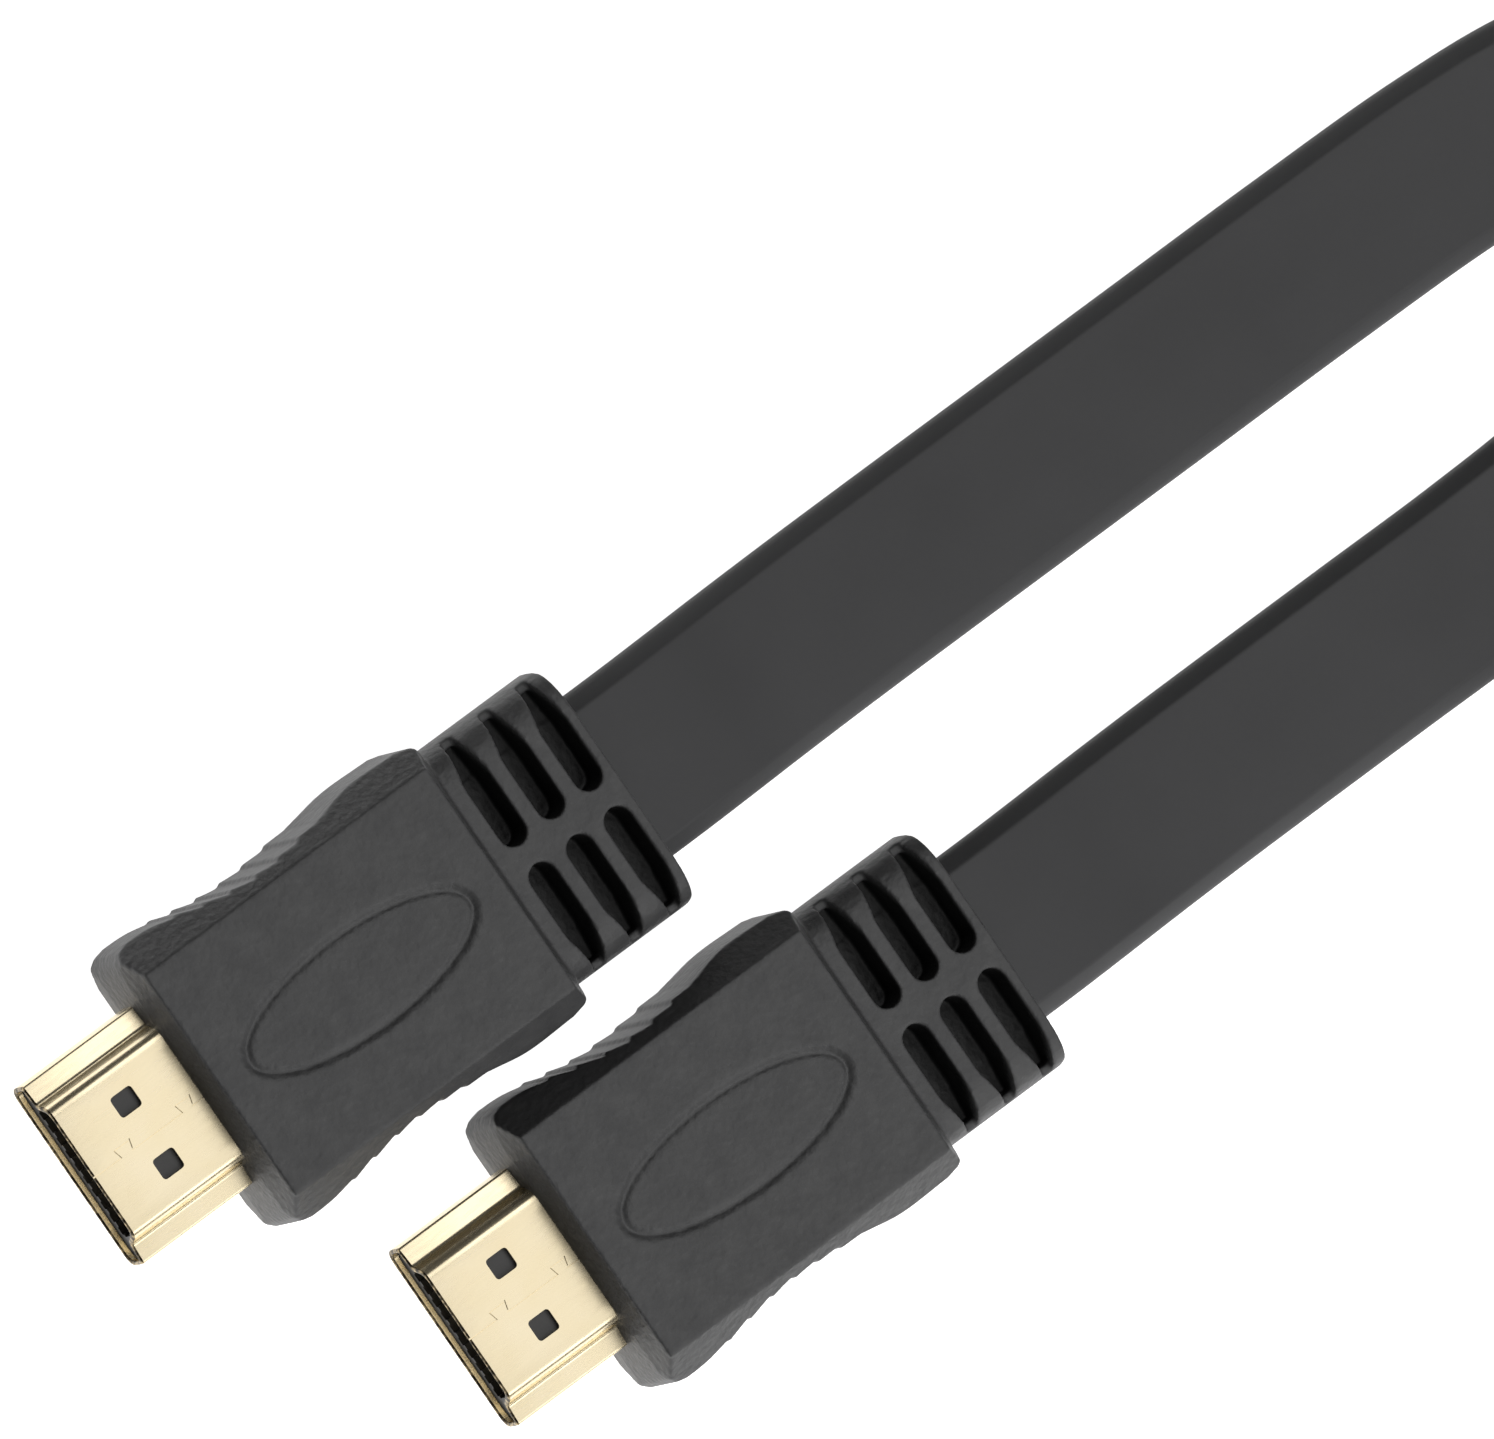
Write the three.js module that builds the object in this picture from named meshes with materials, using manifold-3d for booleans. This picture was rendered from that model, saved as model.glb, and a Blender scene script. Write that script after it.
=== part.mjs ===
// A flat audio and video cable with a moulded plug on each end, in millimetres, +Z up.
// The plugs lie side by side with their tips towards -X. The flat cord leaves them towards +X,
// turns onto its edge and is wound double into one round coil, its middle crossing the hole.

import * as THREE from "three";
import { mergeVertices } from "three/addons/utils/BufferGeometryUtils.js";
import Module from "manifold-3d";

const wasm = await Module();
wasm.setup();

// Where the two plugs lie
const plug_stagger = 14.6; // the second plug lies this much further along X
const plug_spacing = 22.9; // between the centre lines of the plugs

// Grip body of the moulding
const body_length = 25;
const body_height = 10.5;
const plate_width = 17.2; // the flat top and bottom faces
const wall_height = 4.9; // the upright band along the middle of each side
const flare_width = 21.4; // across the front flare
const waist_width = 18.7; // across the finger scoops
const bulge_width = 20.8; // across the rear
const waist_from_front = 11.5;
const bulge_from_front = 19.5;
const front_slope = 0.45; // the top face starts this far behind the front face
const rear_slope = 1.1;
const front_corner = 1.4;
const rear_corner = 1.6;
const corner_cut = 0.29; // of the radius, where one flat stands for a round corner

// Strain relief, moulded in one with the body
const relief_length = 9.85;
const relief_width = 18.3;
const relief_height = 7.4;
const relief_drop = 0.15; // its middle lies this far below the middle of the body
const relief_edge = 3.4; // radius of its long edges
const relief_corner = 0.6; // radius of its rear corners, seen from above
const slot_count = 3;
const slot_width = 2;
const slot_tip_width = 0.4; // the slots narrow towards the sides
const slot_tip_shift = 0.4; // their tips lie this far behind their middle
const slot_pitch = 3.15;
const slot_setback = 1.8; // from the body's rear face to the middle of the first slot
const slot_web = 1.6; // the bridge between the two rows
const slot_core_width = 11.6; // the slots are shallow over the cord and deeper beside it
const slot_core_skin = 0.35; // left over the cord
const slot_side_web = 1; // left between the top and the bottom slots beside the cord
const slot_rail_width = 0.85; // along each side the slots are shallow again
const slot_rail_height = 3.2;

// Metal shell of the plug, its wide side down
const shell_width = 13.9;
const shell_height = 4.45;
const shell_wall = 0.3;
const shell_reach = 9.15; // in front of the moulding
const shell_seat = 5; // inside the moulding
const shoulder_height = 2.7; // from the wide side up to the shoulders
const neck_width = 10.9; // at the foot of the steep walls
const narrow_width = 9.3;
const shell_low_round = 0.6;
const shell_edge = 0.4;
const window_length = 1.72;
const window_width = 1.55;
const window_spacing = 4.84;
const window_setback = 3.83; // behind the tip

// Plastic insulator inside the shell, with the mating slot and the contact grooves
const insulator_setback = 0.45; // behind the shell's tip
const mating_slot_width = 10;
const mating_slot_top_width = 9;
const mating_slot_height = 1.8;
const mating_slot_depth = 7.2;
const groove_width = 0.6;
const groove_depth = 0.28;

// Contacts, one row below the mating slot and one above it
const lower_contacts = 10;
const upper_contacts = 9;
const contact_pitch = 1;
const contact_width = 0.42;
const contact_thickness = 0.22;
const contact_crown = 0.16; // the bend near the tip stands this much higher
const contact_crown_length = 1.6;
const contact_end_play = 0.5;

// Flat cord
const cord_length = 1410; // from one strain relief to the other
const cord_width = 12.6;
const cord_thickness = 3.2;
const cord_bevel_width = 1.2; // the sloping edge of each face
const cord_bevel_height = 1.1;
const cord_exit_height = 3.8; // middle of the cord where it leaves the strain relief
const cord_step = 9;

// Round coil that holds the length that isn't laid out, wound double
const coil_radius = 68.5; // middle of the outermost strand at the top of the coil
const coil_centre = new THREE.Vector2(123.2, -66.5);
const strand_spacing = 4.8;
const points_per_turn = 16;
const lead_tilt = 66; // degrees, where the cord joins the coil
const tilting_turn = 45; // degrees of the coil over which it comes up onto its edge
const bight_points = 7; // on each half of the crossing in the coil's hole
const tie_width = 12;
const tie_thickness = 1;
const tie_turn = 115; // degrees from the top of the coil, clockwise

// Clearances
const close_fit = 0.1; // shell in the moulding, insulator in the shell
const contact_fit = 0.03;
const seam_gap = 0.3; // between the lengths of cord and what they meet

const half = (size) => size / 2;
const mid_height = half(body_height);
const moulding_length = body_length + relief_length;
const shell_middle = mid_height;
const relief_middle = mid_height - relief_drop;

function solid_of(geometry) {
  const bare = geometry.clone();
  bare.deleteAttribute("normal");
  bare.deleteAttribute("uv");
  const merged = mergeVertices(bare, 1e-4);
  const mesh = new wasm.Mesh({
    numProp: 3,
    vertProperties: new Float32Array(merged.attributes.position.array),
    triVerts: new Uint32Array(merged.index.array),
  });
  return new wasm.Manifold(mesh);
}

function geometry_of(solid) {
  const mesh = solid.getMesh();
  const geometry = new THREE.BufferGeometry();
  geometry.setAttribute("position", new THREE.BufferAttribute(mesh.vertProperties, 3));
  geometry.setIndex(new THREE.BufferAttribute(mesh.triVerts, 1));
  return geometry;
}

// A prism with its outline in the YZ plane, running along +X from start
function prism_along_x(outline, start, length, curve_segments = 4) {
  const settings = { depth: length, bevelEnabled: false, curveSegments: curve_segments };
  const geometry = new THREE.ExtrudeGeometry(outline, settings);
  const turn = new THREE.Matrix4().makeBasis(
    new THREE.Vector3(0, 1, 0),
    new THREE.Vector3(0, 0, 1),
    new THREE.Vector3(1, 0, 0),
  );
  return geometry.applyMatrix4(turn).translate(start, 0, 0);
}

// A prism with its outline in the XZ plane, running from side to side
function prism_across(outline, width) {
  const geometry = new THREE.ExtrudeGeometry(outline, { depth: width, bevelEnabled: false });
  return geometry.rotateX(half(Math.PI)).translate(0, half(width), 0);
}

// A prism with its outline in the XY plane, running up from bottom
function prism_upwards(outline, bottom, top, curve_segments = 6) {
  const settings = {
    depth: top - bottom, bevelEnabled: false, curveSegments: curve_segments,
  };
  return new THREE.ExtrudeGeometry(outline, settings).translate(0, 0, bottom);
}

function shape_of(points) {
  return new THREE.Shape(points.map(([a, b]) => new THREE.Vector2(a, b)));
}

function add_mesh(group, name, geometry, color, roughness, metalness) {
  const material = new THREE.MeshStandardMaterial({ color, roughness, metalness });
  const mesh = new THREE.Mesh(geometry, material);
  mesh.name = name;
  group.add(mesh);
}

// Shell: drawn sheet, one closed sleeve with two square windows in each broad face

// The plug's outline seen from the front, drawn in by inset on every side
function plug_outline(inset) {
  const side = half(shell_width) - inset;
  const low = shell_middle - half(shell_height) + inset;
  const high = shell_middle + half(shell_height) - inset;
  const shoulder = shell_middle - half(shell_height) + shoulder_height - inset;
  const neck = half(neck_width) - inset;
  const crown = half(narrow_width) - inset;
  const right = [
    [side - shell_low_round, low], [side, low + shell_low_round],
    [side, shoulder - shell_edge], [side - shell_edge, shoulder],
    [neck, shoulder], [crown + shell_edge, high - shell_edge], [crown, high],
  ];
  const left = right.map(([y, z]) => [-y, z]).reverse();
  return [...right, ...left];
}

function shell_geometry() {
  const outline = shape_of(plug_outline(0));
  outline.holes.push(new THREE.Path(shape_of(plug_outline(shell_wall)).getPoints().reverse()));
  const length = shell_reach + shell_seat;
  let shell = solid_of(prism_along_x(outline, -shell_reach, length));
  const window_middle = -shell_reach + window_setback + half(window_length);
  for (const side of [-1, 1]) {
    const cutter = new THREE.BoxGeometry(window_length, window_width, 2 * shell_height);
    cutter.translate(window_middle, side * half(window_spacing), shell_middle);
    shell = shell.subtract(solid_of(cutter));
  }
  return geometry_of(shell);
}

// Insulator: a moulded block that fills the shell, open at the front for the mating tongue

function contact_rows() {
  const row = (count, side) => Array.from({ length: count }, (_, i) => (
    { y: (i - half(count - 1)) * contact_pitch, side }
  ));
  return [...row(lower_contacts, -1), ...row(upper_contacts, 1)];
}

function insulator_geometry() {
  const inset = shell_wall + close_fit;
  const front = -shell_reach + insulator_setback;
  const block = prism_along_x(shape_of(plug_outline(inset)), front, shell_seat - front);
  const low = shell_middle - half(mating_slot_height);
  const high = shell_middle + half(mating_slot_height);
  const slot = shape_of([
    [-half(mating_slot_width), low], [half(mating_slot_width), low],
    [half(mating_slot_width), shell_middle], [half(mating_slot_top_width), high],
    [-half(mating_slot_top_width), high], [-half(mating_slot_width), shell_middle],
  ]);
  const start = front - 1;
  const cut_length = mating_slot_depth + 1;
  let insulator = solid_of(block).subtract(solid_of(prism_along_x(slot, start, cut_length)));
  for (const { y, side } of contact_rows()) {
    const groove = new THREE.BoxGeometry(cut_length, groove_width, 2 * groove_depth);
    const z = shell_middle + side * half(mating_slot_height);
    groove.translate(start + half(cut_length), y, z);
    insulator = insulator.subtract(solid_of(groove));
  }
  return geometry_of(insulator);
}

// Contact: a stamped spring strip, lying in its groove with a crowned tip
function contact_geometry({ y, side }) {
  const front = -shell_reach + insulator_setback + contact_end_play;
  const back = -shell_reach + insulator_setback + mating_slot_depth - contact_fit;
  const crown = front + half(contact_crown_length);
  const base = half(mating_slot_height) + groove_depth - contact_fit;
  const face = base - contact_thickness;
  const height = (inward) => shell_middle + side * inward;
  const strip = [
    [front, height(base)], [front, height(face + half(contact_thickness))],
    [crown, height(face - contact_crown)],
    [front + contact_crown_length, height(face)],
    [back, height(face)], [back, height(base)],
  ];
  const outline = shape_of(side > 0 ? strip : strip.reverse());
  return prism_across(outline, contact_width).translate(0, y, 0);
}

// Moulding: grip body with scooped sides, strain relief behind it, and the socket of the shell

function body_section() {
  const low = mid_height - half(wall_height);
  const high = mid_height + half(wall_height);
  const side = half(flare_width);
  const plate = half(plate_width);
  return shape_of([
    [plate, 0], [side, low], [side, high], [plate, body_height],
    [-plate, body_height], [-side, high], [-side, low], [-plate, 0],
  ]);
}

function body_plan() {
  const flare = half(flare_width);
  const waist = half(waist_width);
  const bulge = half(bulge_width);
  const rear = body_length;
  const scoop = new THREE.SplineCurve([
    new THREE.Vector2(front_corner, flare),
    new THREE.Vector2(front_corner + 1.8, flare - 0.08),
    new THREE.Vector2(half(front_corner + waist_from_front), half(flare + waist) - 0.1),
    new THREE.Vector2(waist_from_front - 2, waist + 0.03),
    new THREE.Vector2(waist_from_front, waist - 0.02),
    new THREE.Vector2(waist_from_front + 2, waist + 0.12),
    new THREE.Vector2(half(waist_from_front + bulge_from_front) + 1, half(waist + bulge)),
    new THREE.Vector2(bulge_from_front, bulge),
    new THREE.Vector2(rear - rear_corner, bulge - 0.08),
  ]).getPoints(20);
  const side = [
    new THREE.Vector2(0, flare - front_corner),
    new THREE.Vector2(corner_cut * front_corner, flare - corner_cut * front_corner),
    ...scoop,
    new THREE.Vector2(rear - corner_cut * rear_corner, bulge - corner_cut * rear_corner),
    new THREE.Vector2(rear, bulge - rear_corner),
  ];
  const other = side.map(({ x, y }) => new THREE.Vector2(x, -y)).reverse();
  return new THREE.Shape([...side, ...other].reverse());
}

function body_profile() {
  const low = mid_height - half(wall_height);
  const high = mid_height + half(wall_height);
  return shape_of([
    [front_slope, 0], [body_length - rear_slope, 0], [body_length, low],
    [body_length, high], [body_length - rear_slope, body_height],
    [front_slope, body_height], [0, high], [0, low],
  ]);
}

function rounded_rectangle(width, low, high, radius) {
  const side = half(width);
  const outline = new THREE.Shape();
  outline.moveTo(-side + radius, low);
  outline.lineTo(side - radius, low);
  outline.absarc(side - radius, low + radius, radius, -half(Math.PI), 0);
  outline.lineTo(side, high - radius);
  outline.absarc(side - radius, high - radius, radius, 0, half(Math.PI));
  outline.lineTo(-side + radius, high);
  outline.absarc(-side + radius, high - radius, radius, half(Math.PI), Math.PI);
  outline.lineTo(-side, low + radius);
  outline.absarc(-side + radius, low + radius, radius, Math.PI, 1.5 * Math.PI);
  return outline;
}

function relief_solid() {
  const low = relief_middle - half(relief_height);
  const high = relief_middle + half(relief_height);
  const section = rounded_rectangle(relief_width, low, high, relief_edge);
  const overlap = rear_slope + 1;
  const bar = prism_along_x(section, body_length - overlap, relief_length + overlap, 5);
  const side = half(relief_width);
  const plan = new THREE.Shape();
  plan.moveTo(body_length - overlap, -side);
  plan.lineTo(moulding_length - relief_corner, -side);
  plan.absarc(moulding_length - relief_corner, -side + relief_corner, relief_corner,
    -half(Math.PI), 0);
  plan.lineTo(moulding_length, side - relief_corner);
  plan.absarc(moulding_length - relief_corner, side - relief_corner, relief_corner,
    0, half(Math.PI));
  plan.lineTo(body_length - overlap, side);
  return solid_of(bar).intersect(solid_of(prism_upwards(plan, 0, body_height, 4)));
}

// The outline of one slot seen from above, from its rounded inner end out past the side
function slot_plan(middle, from_web) {
  const reach = half(slot_width);
  const out = half(relief_width) + 1;
  const taper = half(slot_core_width);
  const tip = middle + slot_tip_shift;
  if (!from_web) {
    return shape_of([
      [middle - reach, taper], [middle + reach, taper],
      [tip + half(slot_tip_width), out], [tip - half(slot_tip_width), out],
    ]);
  }
  const inner = half(slot_web) + reach;
  const outline = new THREE.Shape();
  outline.moveTo(middle + reach, inner);
  outline.lineTo(middle + reach, taper);
  outline.lineTo(tip + half(slot_tip_width), out);
  outline.lineTo(tip - half(slot_tip_width), out);
  outline.lineTo(middle - reach, taper);
  outline.lineTo(middle - reach, inner);
  outline.absarc(middle, inner, reach, Math.PI, 2 * Math.PI);
  return outline;
}

// The rail that the slots leave along one side of the strain relief
function slot_rail() {
  const rail = new THREE.BoxGeometry(2 * relief_length, 2 * slot_rail_width, slot_rail_height);
  rail.translate(body_length + half(relief_length), half(relief_width), relief_middle);
  return solid_of(rail);
}

function slot_cutters() {
  const core_top = cord_exit_height + half(cord_thickness) + slot_core_skin;
  const core_bottom = cord_exit_height - half(cord_thickness) - slot_core_skin;
  const pocket_top = relief_middle + half(slot_side_web);
  const pocket_bottom = relief_middle - half(slot_side_web);
  const cutters = [];
  for (let i = 0; i < slot_count; i += 1) {
    const middle = body_length + slot_setback + i * slot_pitch;
    const cuts = [
      prism_upwards(slot_plan(middle, true), core_top, body_height),
      prism_upwards(slot_plan(middle, false), pocket_top, body_height),
      prism_upwards(slot_plan(middle, true), -1, core_bottom),
      prism_upwards(slot_plan(middle, false), -1, pocket_bottom),
    ];
    for (const cut of cuts) {
      const cutter = solid_of(cut).subtract(slot_rail());
      cutters.push(cutter, cutter.mirror([0, 1, 0]));
    }
  }
  return cutters;
}

function moulding_geometry() {
  const margin = 1;
  const bar = prism_along_x(body_section(), -margin, body_length + 2 * margin);
  const plan = prism_upwards(body_plan(), -margin, body_height + margin);
  const profile = prism_across(body_profile(), 2 * flare_width);
  let moulding = solid_of(bar).intersect(solid_of(plan)).intersect(solid_of(profile));
  moulding = moulding.add(relief_solid());
  for (const cutter of slot_cutters()) {
    moulding = moulding.subtract(cutter);
  }
  const socket = shape_of(plug_outline(-close_fit));
  const socket_end = shell_seat + close_fit;
  moulding = moulding.subtract(solid_of(prism_along_x(socket, -margin, socket_end + margin)));
  return geometry_of(moulding);
}

// Both plugs, drawn about their own front face and then laid in place

const plug_middle_x = half(moulding_length - shell_reach);
const plugs = [
  { name: "a", x: -half(plug_stagger) - plug_middle_x, y: half(plug_spacing) },
  { name: "b", x: half(plug_stagger) - plug_middle_x, y: -half(plug_spacing) },
];

const group = new THREE.Group();

for (const plug of plugs) {
  const place = new THREE.Group();
  place.position.set(plug.x, plug.y, 0);
  add_mesh(place, `shell_${plug.name}`, shell_geometry(), 0xd9c48a, 0.25, 1);
  add_mesh(place, `insulator_${plug.name}`, insulator_geometry(), 0x151515, 0.5, 0);
  add_mesh(place, `moulding_${plug.name}`, moulding_geometry(), 0x3c3c3d, 0.6, 0);
  contact_rows().forEach((contact, i) => {
    const number = String(i + 1).padStart(2, "0");
    add_mesh(place, `contact_${plug.name}_${number}`, contact_geometry(contact),
      0xd8b563, 0.3, 1);
  });
  group.add(place);
}

// Route of the cord's middle, from the first plug to the second. Each point is its place and
// its tilt in degrees: 0 where the cord lies flat, 90 where it stands on its edge.

// Laid out by hand: distance behind the strain relief, shift sideways, height and tilt
const flat = half(cord_thickness);
const laid_a = [
  [seam_gap, 0, cord_exit_height, 0], [4, 0, 3.7, 0], [8, 0, 3.2, 0], [13, 0, 2.4, 0],
  [19, 0, 1.8, 0], [26, 0, flat, 0], [36, 0, flat, 0], [48, 0, flat, 0],
  [60, 0, flat, 0], [72, -0.2, flat, 0], [80, -0.9, 0, 3], [88, -2.9, 0, 14],
  [96, -5.9, 0, 34], [103, -8.4, 0, 54],
];
const laid_b = [
  [seam_gap, 0, cord_exit_height, 0], [4, 0, 3.7, 0], [8, 0, 3.2, 0], [13, 0, 2.4, 0],
  [19, 0, 1.8, 0], [26, 0, flat, 0], [35, 0, flat, 0], [44, 0, flat, 0],
  [52, 0.4, 0, 4], [60, 1.8, 0, 14], [68, 4.2, 0, 30], [76, 6.7, 0, 45],
  [84, 8.4, 0, 58],
];

// The cord stands on its lower edge, so its middle rises as it tilts
function standing_height(tilt) {
  const turn = THREE.MathUtils.degToRad(tilt);
  const reach = (across, through) => across * Math.sin(turn) + through * Math.cos(turn);
  return Math.max(
    reach(half(cord_width), half(cord_thickness) - cord_bevel_height),
    reach(half(cord_width) - cord_bevel_width, half(cord_thickness)),
  );
}

function laid_points(plug, rows) {
  return rows.map(([along, sideways, height, tilt]) => {
    const z = tilt > 0 ? standing_height(tilt) : height;
    const x = plug.x + moulding_length + along;
    return { place: new THREE.Vector3(x, plug.y + sideways, z), tilt };
  });
}

// Tilt over the first part of a turn, in degrees
function wound_tilt(turned) {
  const share = Math.min(turned / THREE.MathUtils.degToRad(tilting_turn), 1);
  return lead_tilt + (90 - lead_tilt) * Math.sin(half(Math.PI) * share);
}

// One strand of the coil, clockwise from its top and inwards by two spacings a turn
function wound_points(start_radius, sweep) {
  const count = Math.round(points_per_turn * sweep / (2 * Math.PI));
  return Array.from({ length: count + 1 }, (_, i) => {
    const turned = sweep * i / count;
    const radius = start_radius - strand_spacing * turned / Math.PI;
    const tilt = wound_tilt(turned);
    const x = coil_centre.x + radius * Math.sin(turned);
    const y = coil_centre.y + radius * Math.cos(turned);
    return { place: new THREE.Vector3(x, y, standing_height(tilt)), tilt };
  });
}

// The crossing in the coil's hole: two half circles that join the inner ends of the strands
function bight(sweep) {
  const inner_radius = coil_radius - strand_spacing * sweep / Math.PI;
  const bend = half(inner_radius);
  const points = [];
  for (const part of [1, -1]) {
    for (let i = 1; i <= bight_points; i += 1) {
      const turned = Math.PI * (part > 0 ? i : bight_points - i) / bight_points;
      if (turned > 0) {
        const angle = sweep + turned;
        const x = part * bend * (Math.sin(sweep) + Math.sin(angle));
        const y = part * bend * (Math.cos(sweep) + Math.cos(angle));
        const z = standing_height(90);
        points.push({
          place: new THREE.Vector3(coil_centre.x + x, coil_centre.y + y, z), tilt: 90,
        });
      }
    }
  }
  return points;
}

function route_for(sweep) {
  const start_a = laid_points(plugs[0], laid_a);
  const start_b = laid_points(plugs[1], laid_b);
  const strand_a = wound_points(coil_radius, sweep);
  const strand_b = wound_points(coil_radius - strand_spacing, sweep - Math.PI);
  const crossing = bight(sweep);
  return {
    laid_a: start_a.length,
    laid_b: start_b.length,
    points: [
      ...start_a, ...strand_a, ...crossing, ...strand_b.reverse(), ...start_b.reverse(),
    ],
  };
}

const curve_through = (points) => (
  new THREE.CatmullRomCurve3(points.map(({ place }) => place), false, "centripetal")
);

function length_of(points) {
  const steps = curve_through(points).getPoints(8 * points.length);
  return steps.slice(1).reduce((sum, place, i) => sum + place.distanceTo(steps[i]), 0);
}

// The coil takes as many turns as the cord's length asks for
function sweep_for_length() {
  let [few, many] = [1.1 * Math.PI, 8 * Math.PI];
  for (let i = 0; i < 30; i += 1) {
    const sweep = half(few + many);
    if (length_of(route_for(sweep).points) < cord_length) {
      few = sweep;
    } else {
      many = sweep;
    }
  }
  return half(few + many);
}

const sweep = sweep_for_length();
const route = route_for(sweep);
const route_curve = curve_through(route.points);
const last_point = route.points.length - 1;
const turning_point = half(route.laid_a + last_point - route.laid_b + 1);

// Place and cross directions at a point of the route, counted in points from its start.
// side runs along the cord's width and face stands on its broad face.
function station(position) {
  const along = route_curve.getTangent(position / last_point);
  const level = new THREE.Vector3(-along.y, along.x, 0).normalize();
  if (position > turning_point) {
    level.negate();
  }
  const before = route.points[Math.floor(position)];
  const after = route.points[Math.min(Math.floor(position) + 1, last_point)];
  const tilt = THREE.MathUtils.degToRad(
    THREE.MathUtils.lerp(before.tilt, after.tilt, position % 1),
  );
  const side = level.multiplyScalar(Math.cos(tilt));
  side.z = Math.sin(tilt);
  side.addScaledVector(along, -side.dot(along)).normalize();
  return {
    place: route_curve.getPoint(position / last_point),
    side,
    face: along.clone().cross(side),
  };
}

function cord_section() {
  const side = half(cord_width);
  const top = half(cord_thickness);
  return shape_of([
    [side, -top + cord_bevel_height], [side, top - cord_bevel_height],
    [side - cord_bevel_width, top], [-side + cord_bevel_width, top],
    [-side, top - cord_bevel_height], [-side, -top + cord_bevel_height],
    [-side + cord_bevel_width, -top], [side - cord_bevel_width, -top],
  ]);
}

// The cord between two positions on the route, swept along it
function cord_geometry(from, to) {
  const rough = route_curve.getPoint(from / last_point).distanceTo(
    route_curve.getPoint(to / last_point),
  );
  const steps = Math.max(2, Math.round(rough / cord_step), Math.round(to - from));
  const settings = { depth: 1, steps, bevelEnabled: false };
  const geometry = new THREE.ExtrudeGeometry(cord_section(), settings);
  const corners = geometry.attributes.position;
  for (let i = 0; i < corners.count; i += 1) {
    const { place, side, face } = station(THREE.MathUtils.lerp(from, to, corners.getZ(i)));
    place.addScaledVector(side, corners.getX(i)).addScaledVector(face, corners.getY(i));
    corners.setXYZ(i, place.x, place.y, place.z);
  }
  return geometry;
}

// The lengths laid out end a little before the coil, where its own leads begin. The second
// cord comes in under the first one, so its lead starts earlier.
const lead_rows_a = 3;
const lead_rows_b = 6;
const gap_in_points = (position) => {
  const step = route_curve.getPoint(position / last_point).distanceTo(
    route_curve.getPoint((position + 1) / last_point),
  );
  return seam_gap / step;
};
const lead_a = route.laid_a - lead_rows_a;
const lead_b = last_point - route.laid_b + lead_rows_b;
const cord_color = 0x38383a;
add_mesh(group, "ribbon_a", cord_geometry(0, lead_a), cord_color, 0.55, 0);
add_mesh(group, "ribbon_b", cord_geometry(lead_b, last_point), cord_color, 0.55, 0);

// Coil: the ring of wound strands, its two leads and the crossing in its hole
const coil_height = cord_width;
const ring_outer = coil_radius - 0.5;
const ring_inner = coil_radius - strand_spacing * sweep / Math.PI - half(cord_thickness);
const tie_angle = half(Math.PI) - THREE.MathUtils.degToRad(tie_turn);

function tie_box(low_radius, high_radius, low, high, width) {
  const box = new THREE.BoxGeometry(high_radius - low_radius, width, high - low);
  box.translate(half(low_radius + high_radius), 0, half(low + high));
  return solid_of(box.rotateZ(tie_angle).translate(coil_centre.x, coil_centre.y, 0));
}

function coil_geometry() {
  const ring = new THREE.LatheGeometry([
    new THREE.Vector2(ring_inner, 0), new THREE.Vector2(ring_outer, 0),
    new THREE.Vector2(ring_outer, coil_height), new THREE.Vector2(ring_inner, coil_height),
    new THREE.Vector2(ring_inner, 0),
  ], 72);
  ring.rotateX(half(Math.PI)).translate(coil_centre.x, coil_centre.y, 0);
  const wound_a = route.laid_a + 1;
  const wound_b = last_point - route.laid_b - 1;
  const crossing_start = last_point - route.laid_b
    - Math.round(points_per_turn * (sweep - Math.PI) / (2 * Math.PI)) - 2 * bight_points;
  const crossing_end = crossing_start + 2 * bight_points;
  const coil = solid_of(ring)
    .add(solid_of(cord_geometry(lead_a + gap_in_points(lead_a), wound_a)))
    .add(solid_of(cord_geometry(wound_b, lead_b - gap_in_points(lead_b))))
    .add(solid_of(cord_geometry(crossing_start, crossing_end)));
  const room = tie_thickness + seam_gap;
  const groove = tie_box(ring_inner - 1, ring_outer + 1, -1, room, tie_width + 2 * seam_gap);
  return geometry_of(coil.subtract(groove));
}
add_mesh(group, "coil", coil_geometry(), cord_color, 0.55, 0);

// Tie: a strap of woven hook tape, closed around the bundle of turns
function tie_geometry() {
  const inner = Math.sqrt(ring_inner ** 2 - half(tie_width) ** 2) - seam_gap;
  const outer = ring_outer + seam_gap;
  const top = coil_height + seam_gap;
  const strap = tie_thickness;
  const whole = tie_box(inner - strap, outer + strap, 0, top + strap, tie_width);
  return geometry_of(whole.subtract(tie_box(inner, outer, strap, top, 2 * tie_width)));
}
add_mesh(group, "coil_tie", tie_geometry(), 0x1c1c1e, 0.9, 0);

export default group;
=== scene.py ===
# A flat audio and video cable: two moulded plugs lie side by side, and the cord between them is
# wound into a coil beyond the right edge of the picture. All sizes here are in millimetres.
import math

import bmesh
import bpy
import numpy as np
from mathutils import Matrix, Vector


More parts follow.
